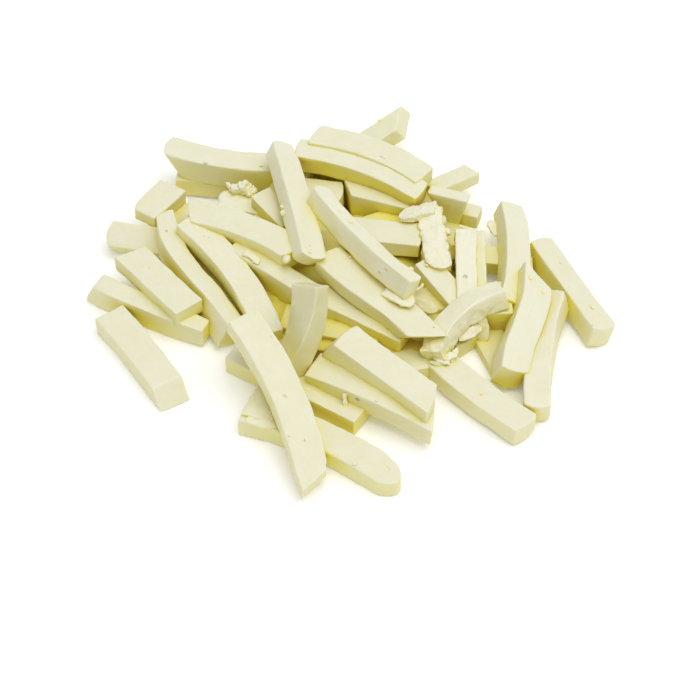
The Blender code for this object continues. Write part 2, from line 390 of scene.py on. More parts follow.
class Strip(NamedTuple):
    """One strip, from its tail to its nose. Lengths are millimetres, angles are degrees.

    x, y and z place its middle. turn is its heading seen from above, pitch lifts its nose, and roll
    leans it to its right. bow and arch bend it to its left and up, sway makes an S of it, and twist
    winds it. A slanted end is given for its cut seen from above and for its cut seen from the side,
    and a tapered end by its size beside the middle's.
    """

    name: str
    x: float
    y: float
    z: float
    turn: float
    length: float
    pitch: float = 0.0
    roll: float = 0.0
    bow: float = 0.0
    arch: float = 0.0
    sway: float = 0.0
    twist: float = 0.0
    width: float = STRIP_WIDTH
    thick: float = STRIP_THICKNESS
    nose: float = 0.0
    nose_up: float = 0.0
    nose_size: float = 1.0
    tail: float = 0.0
    tail_up: float = 0.0
    tail_size: float = 1.0


def in_frame(x, y, z):
    """A place in the list as a place in the frame, in millimetres."""
    return Vector((x - LAYOUT_SHIFT[0], y - LAYOUT_SHIFT[1], z))


print("a usual strip is", STRIP_WIDTH, "mm wide and", STRIP_THICKNESS, "mm thick")

# %% [markdown]
# ## The strips that show
# The heap has four parts: the left, the middle with the tallest strips, the right and the front. A
# name says where a strip lies or what it does, so that its torn places and pits can be found by it
# later.

# %% List the strips that show
LEFT_STRIPS = [
    Strip("lone", -57.5, -14.3, 3, -56, 33.5, bow=0.5, width=9, nose_up=-35),
    Strip("left_low", -55.9, 2.2, 3.8, -28, 37.2, bow=-0.6, width=6, thick=7.6, nose_size=0.8, tail_up=25),
    Strip("left_short", -53, 7, 9, -50, 28, thick=5.2, tail=15),
    Strip("left_block", -57, 28, 5, -13, 26, width=8, thick=5.5, roll=30),
    Strip("left_cap", -55, 38, 10.3, -124, 14, width=9, thick=5, nose_size=0.8),
    Strip(
        "left_wave", -42.6, 11.6, 7.5, -63, 46,
        pitch=-6, roll=-12, bow=-2.5, sway=1, twist=-24, width=6, thick=9, tail=-20, tail_size=0.9,
    ),
    Strip("left_bow", -34, 7, 10.5, -57, 46, pitch=-9, bow=3, width=8),
    Strip("left_over", -30, 20, 15, -30, 36, pitch=3, bow=2.2, width=9, tail=-25),
    Strip("back_left", -33.5, 54.6, 11.1, -10, 37, bow=-1.5, arch=-0.8, width=8, thick=8, tail_up=-36),
    Strip("back_shade", -37, 55, 4, -6, 28),
    Strip("back_scrap", -31, 38, 8.6, -10, 14, width=8),
]

MIDDLE_STRIPS = [
    Strip(
        "post", -15.5, 29, 19.5, -78, 47,
        pitch=-1, roll=-25, bow=0.4, width=7.4, nose_up=30, tail_size=0.85,
    ),
    Strip("wedge", -21, 32, 12, -54, 16, width=7, thick=7),
    Strip("under_over", -20, 8, 10, -40, 32, width=6, thick=9),
    Strip("middle", 4, 12, 21.5, -52, 44, pitch=-4, roll=-20, bow=-1.5, width=5, thick=6.5, tail=20),
    Strip("top_front", 3, 43.8, 16, -24.5, 41, pitch=-3, bow=3, width=8, nose=-10),
    Strip("top_back", 6, 49.3, 16.7, -26, 37, pitch=-3, bow=3, width=8.5, tail=15),
    Strip("spike", 7, 66, 9, 33, 24, pitch=14, width=7, nose=45, nose_up=-20),
    Strip("top_right", 30.5, 50.5, 7, 32, 15, width=5.5, thick=4.5, nose=-20),
    Strip("wedge_right", 29.8, 36.2, 10.2, -20, 7.5, width=3.5, thick=12, tail_up=-28, nose_up=10),
    Strip("wedge_tip", 33.4, 37, 7.5, -20, 10, width=5, thick=5),
    Strip("under_top", -10.3, 42, 9.8, -10, 18),
    Strip("beneath_top", 9.2, 38.3, 10, -19, 20, width=6, thick=8, tail=-35),
    Strip("shelf", 10, 23, 12, -8, 22, thick=5, nose=-8),
    Strip("torn", 24, 21, 12.2, -84, 23.5, pitch=-8, width=8, nose=18),
    Strip("upright", 33, 12, 10, -91, 24, pitch=-10, width=6, thick=7),
    Strip("upright_pair", 37, 15, 8, -91, 22, pitch=-8, width=3.5),
    Strip("between", 40, 21, 4.5, -8, 18, width=7, thick=5),
    Strip("tucked", 27, 5, 6.5, -56, 22, pitch=-7, width=7, thick=10),
    Strip("long_middle", 6.8, -2.3, 14.1, -45, 38, pitch=-6, sway=0.6, thick=5, nose=38, nose_up=40),
    Strip("hidden_middle", 4, -5, 7, -31, 28, pitch=-3, thick=9),
    Strip("cross_low", 19, -18, 3.6, -165, 15, width=8),
]

RIGHT_STRIPS = [
    Strip("torn_bow", 32.4, -10.8, 10.4, -134, 30, pitch=-9, roll=20, bow=-4.5, width=6.8, thick=6.2),
    Strip(
        "right_upright", 45.2, 18, 8.5, -93, 38,
        pitch=-2, roll=-22, bow=1.9, width=7.5, thick=6.5, tail=5, tail_size=0.9,
    ),
    Strip(
        "right_wave", 47.3, -9.2, 8.2, -104, 34,
        pitch=-8, roll=-24, bow=0.5, sway=-0.8, width=8.4, thick=7, nose=-8, nose_up=-14, tail=40,
    ),
    Strip(
        "right_lean", 54, -15.6, 5, -101, 42,
        pitch=-3, roll=10, bow=-1.5, twist=-20, width=7.2, thick=6.5,
    ),
    Strip("right_long", 62.3, 9.4, 4, -66, 39, roll=-12, width=7.4, thick=6.8),
    Strip("right_low", 35.4, -29.4, 4, -46, 34, bow=-1, width=8.5, nose=5),
    Strip("under_right", 41, 1.2, 5, -88, 12, width=8, thick=10),
]

FRONT_STRIPS = [
    Strip("front_thick", 9.2, -28, 11.5, -41, 33.5, pitch=-5, thick=8, nose=-25, tail_up=25),
    Strip("front_pitted", 6.05, -31.6, 6.1, -30, 36.6, arch=1.3, nose=-25),
    Strip("front_under", -14, -25, 3, -33, 42),
    Strip("front_long", -19, -37.7, 11.6, -66, 51, pitch=-17, bow=2.6, nose=-28, nose_size=0.85),
    Strip("front_low", -7.5, -47.6, 3, -31, 48, bow=3, nose_size=0.85),
    Strip("front_stub", -21.5, -33, 4, -112, 15, width=10),
    Strip(
        "curl", -14, -15.8, 14.8, -117, 27,
        pitch=-54, roll=28, bow=2, width=8, thick=6.5, nose_size=0.8,
    ),
]

print(sum(map(len, (LEFT_STRIPS, MIDDLE_STRIPS, RIGHT_STRIPS, FRONT_STRIPS))), "strips that show")

# %% [markdown]
# ## The strips that carry them
# Every strip of a heap lies on others. Those hardly show, but without them the upper strips would
# hang in the air, and the floor would show through the gaps. Most lie in two layers.

# %% List the strips below
CORE_STRIPS = [
    Strip("below_left", -31, 30, 2.7, 12, 44),
    Strip("below_cap", -51, 34, 4, 80, 15, width=8, thick=8),
    Strip("below_short", -47, 3.6, 2.4, 5, 17, width=7, thick=4.6),
    Strip("below_post", -8, 38, 2.8, 80, 50),
    Strip("below_top", 9, 48, 2.6, -8, 44),
    Strip("below_middle", 2, 12, 3.5, -35, 55),
    Strip("below_right", 23, 17, 2.9, 62, 38),
    Strip("below_bow", -30, 2, 2.5, -48, 44),
    Strip("below_front", 8, -14, 3.5, -12, 40),
    Strip("second_left", -20, 40, 8, 70, 38),
    Strip("second_top", 4, 54, 8.4, -18, 38),
    Strip("second_middle", -2, 25, 7.5, 25, 50),
    Strip("second_right", 18, 30, 5.5, -50, 34),
    Strip("second_front", -5, -7, 5, -15, 28),
    Strip("second_centre", 20, 2, 5, 15, 40),
    Strip("back_floor", -10, 58, 3.5, 8, 48),
    Strip("back_right", 24, 42, 3.5, -70, 36),
    Strip("right_floor", 47.5, 9, 2.7, 87, 26),
    Strip("below_wave", 41, -12.5, 1.6, -70, 20, width=9, thick=3.2),
    Strip("below_torn", 28, -4.8, 2.6, -50, 15, width=8, thick=5),
]

GROUPS = {
    "strips_left": LEFT_STRIPS,
    "strips_middle": MIDDLE_STRIPS,
    "strips_right": RIGHT_STRIPS,
    "strips_front": FRONT_STRIPS,
    "strips_core": CORE_STRIPS,
}
STRIPS = {strip.name: strip for group in GROUPS.values() for strip in group}
print(len(STRIPS), "strips in", len(GROUPS), "groups")

# %% [markdown]
# ## One bar, before it bends
# A cutter makes bars with crisp edges, but curd is soft, so the edges give way a little. The bar
# starts as a cube of the strip's size. Its edges are subdivided in edit mode along, across and up, so
# that it can bend, and then only the sharp edges are bevelled. Selecting those by their angle is
# quicker than by place, and it works for a bar of any size. The cube's ends are then slanted and
# tapered, and where the curd gave way, the corners are drawn back until the end is round.

# %% Make a bar
CELL = 1.3
ARRIS = 0.35
END_SHARE = 0.65
SHARP = math.radians(60)
ALONG = 0.9

# How far the corners of a strip's ends are drawn back, in millimetres, at its nose and at its tail
ROUND_ENDS = {
    "left_block": (0.0, 1.2),
    "left_wave": (0.0, 0.8),
    "left_over": (1.6, 0.4),
    "back_left": (0.0, 1.2),
    "post": (1.8, 0.6),
    "middle": (0.5, 1.6),
    "top_front": (0.5, 0.8),
    "top_back": (0.4, 0.8),
    "torn": (2.6, 1.6),
    "under_top": (1.2, 0.0),
    "shelf": (1.2, 0.0),
    "long_middle": (0.0, 1.0),
    "right_wave": (0.8, 0.0),
    "right_lean": (1.2, 0.8),
    "right_long": (1.0, 1.0),
    "right_low": (0.8, 0.0),
    "front_low": (3.6, 0.0),
    "front_thick": (0.5, 0.8),
}


def pick(thing):
    """Select this object and no other."""
    bpy.ops.object.select_all(action="DESELECT")
    bpy.context.view_layer.objects.active = thing
    thing.select_set(True)


def edit(thing):
    """Go into edit mode with only this object."""
    pick(thing)
    bpy.ops.object.mode_set(mode="EDIT")
    bpy.ops.mesh.select_mode(type="EDGE")


def cut_across(thing, axis, pieces):
    """In edit mode, cut a box into pieces along one axis."""
    bpy.ops.mesh.select_all(action="DESELECT")
    shape = bmesh.from_edit_mesh(thing.data)
    for edge in shape.edges:
        step = edge.verts[1].co - edge.verts[0].co
        edge.select_set(abs(step[axis]) > ALONG * step.length)
    bmesh.update_edit_mesh(thing.data)
    bpy.ops.mesh.subdivide(number_cuts=pieces - 1)


def add_bar(name, length, width, thick, cell, arris):
    """A bar of this size in millimetres, along +X from the origin, with rounded edges."""
    bpy.ops.object.select_all(action="DESELECT")
    bpy.ops.mesh.primitive_cube_add(size=1, location=(length / 2 * MM, 0, 0))
    bar = bpy.context.object
    bar.name = name
    bar.scale = (length * MM, width * MM, thick * MM)
    bpy.ops.object.transform_apply(location=True, rotation=False, scale=True)
    edit(bar)
    for axis, size in enumerate((length, width, thick)):
        cut_across(bar, axis, max(2, round(size / cell)))
    bpy.ops.mesh.select_all(action="DESELECT")
    bpy.ops.mesh.edges_select_sharp(sharpness=SHARP)
    bpy.ops.mesh.bevel(offset=arris * MM, segments=2, affect="EDGES")
    bpy.ops.object.mode_set(mode="OBJECT")
    return bar


def tangent(degrees):
    """The tangent of an angle in degrees."""
    return math.tan(math.radians(degrees))


def end_share(t):
    """0 in a strip's middle, rising to 1 at its end. t is 1 at that end."""
    return max(0.0, (t - 1 + END_SHARE) / END_SHARE)


def shape_ends(bar, strip):
    """Slant, taper and round the bar's ends."""
    for point in bar.data.vertices:
        t = point.co.x / (strip.length * MM) * 2 - 1
        at_nose = end_share(t)
        at_tail = end_share(-t)
        size = 1 + (strip.nose_size - 1) * at_nose**2 + (strip.tail_size - 1) * at_tail**2
        left = point.co.y
        up = point.co.z
        slant = at_nose * (left * tangent(strip.nose) + up * tangent(strip.nose_up))
        slant += at_tail * (left * tangent(strip.tail) + up * tangent(strip.tail_up))
        round_nose, round_tail = ROUND_ENDS.get(strip.name, (0.0, 0.0))
        corner = (2 * left / (strip.width * MM)) ** 2
        slant += corner * (at_tail**2 * round_tail - at_nose**2 * round_nose) * MM
        point.co = Vector((point.co.x + slant, left * size, up * size))


print("cells of", CELL, "mm, arrises of", ARRIS, "mm, and", len(ROUND_ENDS), "strips with rounded ends")

# %% [markdown]
# ## Uneven cuts
# No two strips are cut alike: the blade wanders, and the curd swells where it was squeezed. A
# Displace modifier with a cloud texture moves the faces in and out by a few tenths of a millimetre.
# The texture is read from an empty that stands somewhere else for each strip, so no two strips
# repeat the same waves.

# %% Make the cuts uneven


def cloud_texture(name, size, hard=False):
    """A cloud texture with features of about this size in millimetres."""
    texture = bpy.data.textures.new(name, "CLOUDS")
    texture.noise_scale = size * MM
    texture.noise_depth = 2
    texture.noise_type = "HARD_NOISE" if hard else "SOFT_NOISE"
    return texture


WAVES = cloud_texture("waves", 9)
DIMPLES = cloud_texture("dimples", 2.2)
SHREDS = cloud_texture("shreds", 3.6, hard=True)
LUMPS = cloud_texture("lumps", 1.8)
CRUMBLE = cloud_texture("crumble", 0.9)
GUIDE_STEP = (0.11, 0.07, 0.05)
guide = bpy.data.objects.new("texture_guide", None)
bpy.context.scene.collection.objects.link(guide)


def displace(thing, texture, strength, seed, group=""):
    """Move the faces in and out by up to half of strength, in millimetres."""
    guide.location = [step * seed for step in GUIDE_STEP]
    bpy.context.view_layer.update()
    pick(thing)
    change = thing.modifiers.new(texture.name, "DISPLACE")
    change.texture = texture
    change.texture_coords = "OBJECT"
    change.texture_coords_object = guide
    change.strength = strength * MM
    change.mid_level = 0.5
    change.vertex_group = group
    bpy.ops.object.modifier_apply(modifier=change.name)


print("textures:", [texture.name for texture in (WAVES, DIMPLES, SHREDS, LUMPS, CRUMBLE)])

# %% [markdown]
# ## Torn places
# Where a strip was torn and not cut, its surface is ragged. The torn stretch is a vertex group with
# soft borders, and more Displace modifiers work only there. The first has a hard cloud texture, whose
# creases look like folds, and works before the bar bends. The second has a fine soft texture, and
# roughens the folds once the bar has more points.

# %% Mark the torn places


class Tear(NamedTuple):
    """A torn stretch of a strip, from t start to t end, on the side that the vector points to.

    t is -1 at the strip's tail and 1 at its nose. A side of (0, 0, 0) means all round.
    """

    strip: str
    start: float
    end: float
    side: tuple
    depth: float


TEARS = [
    Tear("torn", -1.3, 1.3, (0, 0, 0), 2.0),
    Tear("torn_bow", -0.9, 1.2, (0, 1, -1), 1.4),
    Tear("torn_bow", 0.6, 1.4, (0, 0, 0), 1.8),
    Tear("upright", -1.3, -0.6, (0, 0, 0), 1.0),
    Tear("upright", -0.7, 1.3, (0, 1, 0.3), 0.6),
    Tear("back_scrap", -1.3, 1.3, (0, 0, 1), 1.3),
    Tear("front_stub", 0.5, 1.3, (0, 0, 0), 1.0),
    Tear("left_low", -1.3, -0.75, (0, -1, 0), 1.2),
    Tear("left_short", 0.2, 0.8, (0, -1, -0.6), 0.9),
    Tear("long_middle", 0.2, 1.4, (0, 1, 0), 1.2),
    Tear("wedge", -1.3, -0.4, (0, 0, 0), 0.8),
    Tear("front_long", 0.7, 1.3, (0, 0, 0.6), 0.9),
    Tear("top_front", 0.75, 1.3, (0, -1, 0), 0.8),
    Tear("right_low", -1.3, -0.8, (0, 0, 0), 0.9),
]
FINE_SHARE = 0.33
BORDER_SLOPE = 5.0
SIDE_SLOPE = 2.0
SIDE_START = 0.8


def tears_of(strip):
    """A strip's tears, each with the name of its vertex group."""
    return [(f"torn_{number}", torn) for number, torn in enumerate(TEARS) if torn.strip == strip.name]


def tear(bar, strip, seed):
    """Mark the bar's torn stretches and fold them."""
    for group_name, torn in tears_of(strip):
        group = bar.vertex_groups.new(name=group_name)
        side = Vector(torn.side)
        for point in bar.data.vertices:
            t = point.co.x / (strip.length * MM) * 2 - 1
            share = min(1.0, max(0.0, BORDER_SLOPE * min(t - torn.start, torn.end - t)))
            if side.length > 0:
                out = Vector((0, point.co.y / strip.width * 2, point.co.z / strip.thick * 2)) / MM
                share *= min(1.0, max(0.0, out.dot(side.normalized()) * SIDE_SLOPE - SIDE_START))
            group.add([point.index], share, "REPLACE")
        displace(bar, SHREDS, torn.depth, seed, group_name)


def crumble(bar, strip, seed):
    """Roughen the marked stretches finely, and forget the marks."""
    for group_name, torn in tears_of(strip):
        displace(bar, CRUMBLE, torn.depth * FINE_SHARE, seed, group_name)
    bar.vertex_groups.clear()


print(len(TEARS), "torn places on", len({torn.strip for torn in TEARS}), "strips")

# %% [markdown]
# ## Bending a bar along its path
# A strip that lies on others sags, sways and twists with them. A Curve modifier does this: a path of
# five points runs through the strip's middle, and the bar follows it. The points' tilt rolls the bar,
# and the Z-up twist mode keeps an untilted bar level.

# %% Bend a bar
SWAY_FACTOR = 2.6
PATH_PLACES = (-1.0, -0.5, 0.0, 0.5, 1.0)


def centre_line(strip, t):
    """The point of a strip's centre line at t, from -1 at its tail to 1 at its nose, in millimetres."""
    turn = math.radians(strip.turn)
    pitch = math.radians(strip.pitch)
    ahead = Vector((math.cos(turn) * math.cos(pitch), math.sin(turn) * math.cos(pitch), math.sin(pitch)))
    left = Vector((-math.sin(turn), math.cos(turn), 0.0))
    up = ahead.cross(left)
    side = strip.bow * (1 - t**2) + strip.sway * SWAY_FACTOR * (t - t**3)
    lift = strip.arch * (1 - t**2)
    middle = in_frame(strip.x, strip.y, strip.z)
    return middle + ahead * (t * strip.length / 2) + left * side + up * lift


def add_path(strip):
    """The curve that a strip follows."""
    data = bpy.data.curves.new(strip.name + "_path", "CURVE")
    data.dimensions = "3D"
    data.twist_mode = "Z_UP"
    data.use_deform_bounds = False
    line = data.splines.new("BEZIER")
    line.bezier_points.add(len(PATH_PLACES) - 1)
    for point, t in zip(line.bezier_points, PATH_PLACES):
        point.co = centre_line(strip, t) * MM
        point.handle_left_type = "AUTO"
        point.handle_right_type = "AUTO"
        point.tilt = math.radians(strip.roll + strip.twist * t / 2)
    path = bpy.data.objects.new(data.name, data)
    bpy.context.scene.collection.objects.link(path)
    return path


def bend(bar, strip):
    """Bend a bar along its strip's path."""
    path = add_path(strip)
    bpy.context.view_layer.objects.active = bar
    change = bar.modifiers.new("bend", "CURVE")
    change.object = path
    change.deform_axis = "POS_X"
    bpy.ops.object.modifier_apply(modifier=change.name)
    bpy.data.objects.remove(path)


print("a path has", len(PATH_PLACES), "points")

# %% [markdown]
# ## All the strips
# Before it bends, each bar writes down two things for the materials: the place of every point on the
# straight bar, and its tone, a little milkier or creamier than its neighbour's. The core's strips
# hardly show, so they are made of larger cells, and the torn ones need smaller cells.

# %% Make the strips
CORE_CELL = 2.5
TORN_CELL = 0.8
TORN_STRIPS = {"torn", "torn_bow", "upright", "back_scrap"}
TONE_SPREAD = 0.18
WAVINESS = 0.9
PATTERN_STEP = Vector((37.0, 11.0, 5.0))
dice = random.Random(7)


def note(thing, name, kind, values):
    """Store one value for every point of a mesh as an attribute."""
    attribute = thing.data.attributes.new(name, kind, "POINT")
    key = "vector" if kind == "FLOAT_VECTOR" else "value"
    attribute.data.foreach_set(key, values)


def note_curd(thing, seed):
    """Write down each point's place in millimetres, shifted for each piece, and the piece's tone."""
    shift = PATTERN_STEP * seed
    places = [value for point in thing.data.vertices for value in point.co / MM + shift]
    note(thing, "cut_space", "FLOAT_VECTOR", places)
    tone = 0.5 + dice.uniform(-TONE_SPREAD, TONE_SPREAD)
    note(thing, "tone", "FLOAT", [tone] * len(thing.data.vertices))


def make_strip(strip, seed, cell):
    """One finished strip, but for its last smoothing."""
    bar = add_bar(strip.name, strip.length, strip.width, strip.thick, cell, ARRIS)
    note_curd(bar, seed)
    displace(bar, WAVES, WAVINESS, seed)
    tear(bar, strip, seed)
    shape_ends(bar, strip)
    bend(bar, strip)
    return bar


bars = {}
for seed, strip in enumerate(STRIPS.values()):
    cell = CORE_CELL if strip in CORE_STRIPS else TORN_CELL if strip.name in TORN_STRIPS else CELL
    bars[strip.name] = make_strip(strip, seed, cell)
print(len(bars), "bars of", sum(len(bar.data.vertices) for bar in bars.values()), "points")

# %% [markdown]
# ## The mound
# In a real heap the deepest gaps end on more cheese. A low uneven mound in the heap's middle fills
# them, so that the floor hardly shows through. It is a wide flat lump with large waves, and the half
# of it that is below the floor is cut off at the end. The mound, the shreds, the crumbs and the pits
# all start as an ico sphere, whose points are spread more evenly than a UV sphere's, so that a
# texture changes it alike on all sides. It gets its size and its waves at the origin, and is then
# turned and laid in its place.

# %% Make the mound
MOUND_PLACE = (-3.0, 16.0, 0.0)
MOUND_SIZES = (74.0, 62.0, 16.0)
MOUND_SPLITS = 6
MOUND_WAVES = 4 * WAVINESS
MOUND_SEED = 400


def add_lump(name, splits, sizes):
    """An ico sphere of these three sizes in millimetres, at the origin."""
    bpy.ops.object.select_all(action="DESELECT")
    bpy.ops.mesh.primitive_ico_sphere_add(subdivisions=splits, radius=0.5)
    lump = bpy.context.object
    lump.name = name
    lump.scale = [size * MM for size in sizes]
    bpy.ops.object.transform_apply(location=False, rotation=False, scale=True)
    return lump


def lay(lump, place, turn=0.0, pitch=0.0, roll=0.0):
    """Turn a lump, angles in degrees, and lay it at a place, a vector in millimetres."""
    lump.rotation_euler = (math.radians(roll), math.radians(-pitch), math.radians(turn))
    lump.location = place * MM
    pick(lump)
    bpy.ops.object.transform_apply(location=True, rotation=True, scale=True)


mound = add_lump("mound", MOUND_SPLITS, MOUND_SIZES)
note_curd(mound, MOUND_SEED)
displace(mound, WAVES, MOUND_WAVES, MOUND_SEED)
displace(mound, LUMPS, WAVINESS, MOUND_SEED)
lay(mound, in_frame(*MOUND_PLACE))
print("a mound of", len(mound.data.vertices), "points")

# %% [markdown]
# ## Where the shreds and flaps lie
# Cutting and tipping out leaves torn bits on the strips: lumps, and thin flaps that still hang on. A
# lump is given as a strip is, by its place, its size and its turns. A flap is a small thin strip with
# a narrow nose, so it is described as a strip.

# %% List the shreds and flaps


class Shred(NamedTuple):
    """One shred, laid as a strip is. Lengths are millimetres, angles are degrees."""

    x: float
    y: float
    z: float
    length: float
    width: float
    thick: float
    turn: float = 0.0
    pitch: float = 0.0
    roll: float = 0.0


SHREDS_LAID = [
    # A clump of lumps behind the torn scrap
    Shred(-32.6, 42.2, 12.4, 4.4, 3.6, 3.0),
    Shred(-30.4, 42.6, 12.9, 4.6, 4.0, 3.6, turn=40),
    Shred(-28.4, 41.6, 12.2, 4.0, 3.4, 2.8, turn=80),
    Shred(-35.0, 43.2, 13.0, 2.6, 1.2, 1.4, turn=-60),
    # Two beads on the edge of the post
    Shred(-18.9, 27.2, 19.8, 1.2, 1.6, 1.2),
    Shred(-18.4, 25.2, 19.4, 1.9, 2.4, 1.8),
    # A curl at the end of the strip over the left ones
    Shred(-17.4, 8.6, 17.6, 2.8, 2.4, 2.0, turn=60),
    # A speck at the end of the middle strip
    Shred(16.8, 0.3, 22.3, 1.7, 1.3, 1.1),
    # Lumps on the lobe over the torn strip
    Shred(23.6, 31.6, 15.2, 4.2, 2.6, 1.8, turn=30),
    Shred(20.2, 29.4, 15.0, 3.6, 2.2, 1.6, turn=-10),
    Shred(26.6, 28.0, 13.6, 2.6, 3.6, 2.2),
    Shred(28.2, 24.4, 12.6, 1.6, 2.6, 1.6),
    # A lump under the torn bow
    Shred(30.2, -10.5, 7.4, 2.0, 1.8, 1.6, turn=10),
    # The ragged end of the torn bow on the low right strip
    Shred(26.8, -19.4, 8.2, 5.6, 2.8, 1.6, turn=20, pitch=10),
    Shred(25.0, -20.4, 8.0, 4.8, 2.2, 1.4, turn=-30),
    Shred(28.4, -18.2, 7.8, 4.6, 1.8, 1.4, turn=60, pitch=20),
    Shred(23.8, -20.8, 7.4, 4.0, 1.6, 1.2, turn=-10),
    # The stub's torn front edge
    Shred(-24.6, -40.0, 5.9, 3.4, 2.2, 1.0, turn=-14),
    Shred(-21.0, -41.0, 5.9, 3.8, 1.8, 0.9, turn=-20),
    # Torn bits beside the short strip on the left
    Shred(-52.2, 1.4, 7.6, 2.8, 1.8, 1.8, turn=-30),
    Shred(-50.6, 0.2, 7.2, 2.0, 1.4, 1.4, turn=20),
]
FLAPS = [
    # The lobe over the torn strip
    Strip(
        "lobe", 19.9, 28.8, 15.4, 22, 11,
        bow=0.6, roll=-14, width=5.6, thick=2.0, tail_size=0.35, nose=20,
    ),
    # The flap on the long strip of the middle, and the one beside it
    Strip("long_flap", 13.6, -5.0, 16.8, -37, 9.5, arch=0.5, roll=14, width=4.6, thick=1.1, nose_size=0.4),
    Strip(
        "side_flap", 20.8, -2.4, 10.4, -30, 8,
        roll=40, width=3.0, thick=0.8, nose_size=0.2, tail_size=0.6,
    ),
    Strip("thread", 19.4, 5.2, 10.2, 38, 3.6, pitch=15, bow=-0.6, width=0.8, thick=0.7, nose_size=0.4),
    # A flap on the strip under the one over the left ones
    Strip("under_flap", -27.4, 11.6, 14.9, -50, 6, bow=0.8, roll=-12, width=2.4, thick=0.8, nose_size=0.3),
    # Flaps that hang from the torn bow
    Strip(
        "hanging_flap", 36.6, -7.4, 5.6, -82, 8,
        pitch=-64, bow=0.5, width=3.2, thick=1.0, nose_size=0.35,
    ),
    Strip("lower_flap", 33.2, -7.4, 5.2, -10, 7, roll=-10, width=4.2, thick=0.9, nose_size=0.15, nose=20),
    Strip("bow_flap", 33.0, -9.0, 7.6, 34, 8, roll=35, bow=-0.8, width=3.0, thick=1.1, nose_size=0.4),
    # A drip and a lip on the pitted strip
    Strip("drip", -1.2, -33.6, 6.9, -80, 4.4, pitch=-60, width=1.1, thick=0.8, nose_size=0.5),
    Strip("lip", 2.8, -33.4, 9.3, -32, 6, arch=0.3, width=1.2, thick=0.8, nose_size=0.4, tail_size=0.4),
    # The stub's thin front edge
    Strip("stub_edge", -22.6, -39.9, 6.2, -14, 9, bow=-0.8, width=3.2, thick=0.9, nose_size=0.5),
    # A barb on the upright strip at the right
    Strip("barb", 42.0, 31.0, 7.8, 118, 5.6, pitch=12, width=3.0, thick=0.9, nose_size=0.15),
]
print(len(SHREDS_LAID), "shreds and", len(FLAPS), "flaps")

# %% [markdown]
# ## Shreds and flaps
# A shred is a lump that two soft cloud textures make uneven, one coarse and one fine. A flap is made
# and bent as the strips are, from smaller cells, and the same two textures make it ragged.

# %% Make the shreds and flaps
SHRED_SPLITS = 4
SHRED_SEED = 200
SHRED_LUMPS = 0.45
SHRED_CRUMBLE = 0.2
FLAP_CELL = 0.45
FLAP_ARRIS = 0.2
FLAP_WAVES = 0.5
FLAP_CRUMBLE = 0.5
FLAP_SEED = 250


def make_shred(shred, seed):
    """A torn shred in its place."""
    lump = add_lump("shred", SHRED_SPLITS, (shred.length, shred.width, shred.thick))
    note_curd(lump, seed)
    displace(lump, LUMPS, SHRED_LUMPS * shred.width, seed)
    displace(lump, CRUMBLE, SHRED_CRUMBLE * shred.thick, seed)
    lay(lump, in_frame(shred.x, shred.y, shred.z), shred.turn, shred.pitch, shred.roll)
    return lump


def make_flap(flap, seed):
    """A thin torn flap, made and bent as a strip is."""
    bar = add_bar(flap.name, flap.length, flap.width, flap.thick, FLAP_CELL, FLAP_ARRIS)
    note_curd(bar, seed)
    displace(bar, LUMPS, FLAP_WAVES, seed)
    displace(bar, CRUMBLE, FLAP_CRUMBLE * flap.thick, seed)
    shape_ends(bar, flap)
    bend(bar, flap)
    return bar


shreds = [make_shred(shred, seed) for seed, shred in enumerate(SHREDS_LAID, start=SHRED_SEED)]
shreds += [make_flap(flap, seed) for seed, flap in enumerate(FLAPS, start=FLAP_SEED)]
print(len(shreds), "torn bits of", sum(len(bit.data.vertices) for bit in shreds), "points")

# %% [markdown]
# ## Crumbs
# Crumbs are too many and too small to place one by one, so their places are drawn by lot, from dice
# with a fixed seed. Each one drops: a ray from above finds the strip that it lands on. One that would
# land beside the heap or on a steep face is left out.

# %% Drop the crumbs
CRUMB_SPLITS = 2
CRUMB_COUNT = 70
CRUMB_SEED = 300
CRUMB_SIZES = (0.35, 1.0)
CRUMB_LENGTHS = (0.8, 1.6)
CRUMB_HEIGHT = 0.8
CRUMB_RAGGED = 0.5
CRUMB_STAND = 0.25
DROP_HEIGHT = 60.0
LEVEL = 0.8


def tree_of(things):
    """One search tree of all faces of these objects."""
    points = []
    faces = []
    for thing in things:
        first = len(points)
        points.extend(point.co.copy() for point in thing.data.vertices)
        faces.extend([first + corner for corner in face.vertices] for face in thing.data.polygons)
    return BVHTree.FromPolygons(points, faces)


def make_crumb(seed, tree):
    """A crumb where it lands on the heap, or nothing where it misses."""
    x = dice.uniform(CAD_BOX[0][0], CAD_BOX[1][0])
    y = dice.uniform(CAD_BOX[0][1], CAD_BOX[1][1])
    size = dice.uniform(*CRUMB_SIZES)
    hit, normal, _, _ = tree.ray_cast(Vector((x, y, DROP_HEIGHT * MM)), Vector((0, 0, -1)))
    if hit is None or normal.z < LEVEL:
        return None
    sizes = (size * dice.uniform(*CRUMB_LENGTHS), size, size * CRUMB_HEIGHT)
    crumb = add_lump("crumb", CRUMB_SPLITS, sizes)
    note_curd(crumb, seed)
    displace(crumb, CRUMBLE, CRUMB_RAGGED * size, seed)
    lay(crumb, hit / MM + Vector((0, 0, CRUMB_STAND * size)), turn=dice.uniform(0, 360))
    return crumb


strip_tree = tree_of(bars.values())
dropped = [make_crumb(CRUMB_SEED + number, strip_tree) for number in range(CRUMB_COUNT)]
crumbs = [crumb for crumb in dropped if crumb]
print(len(crumbs), "crumbs of", CRUMB_COUNT, "landed on the heap")
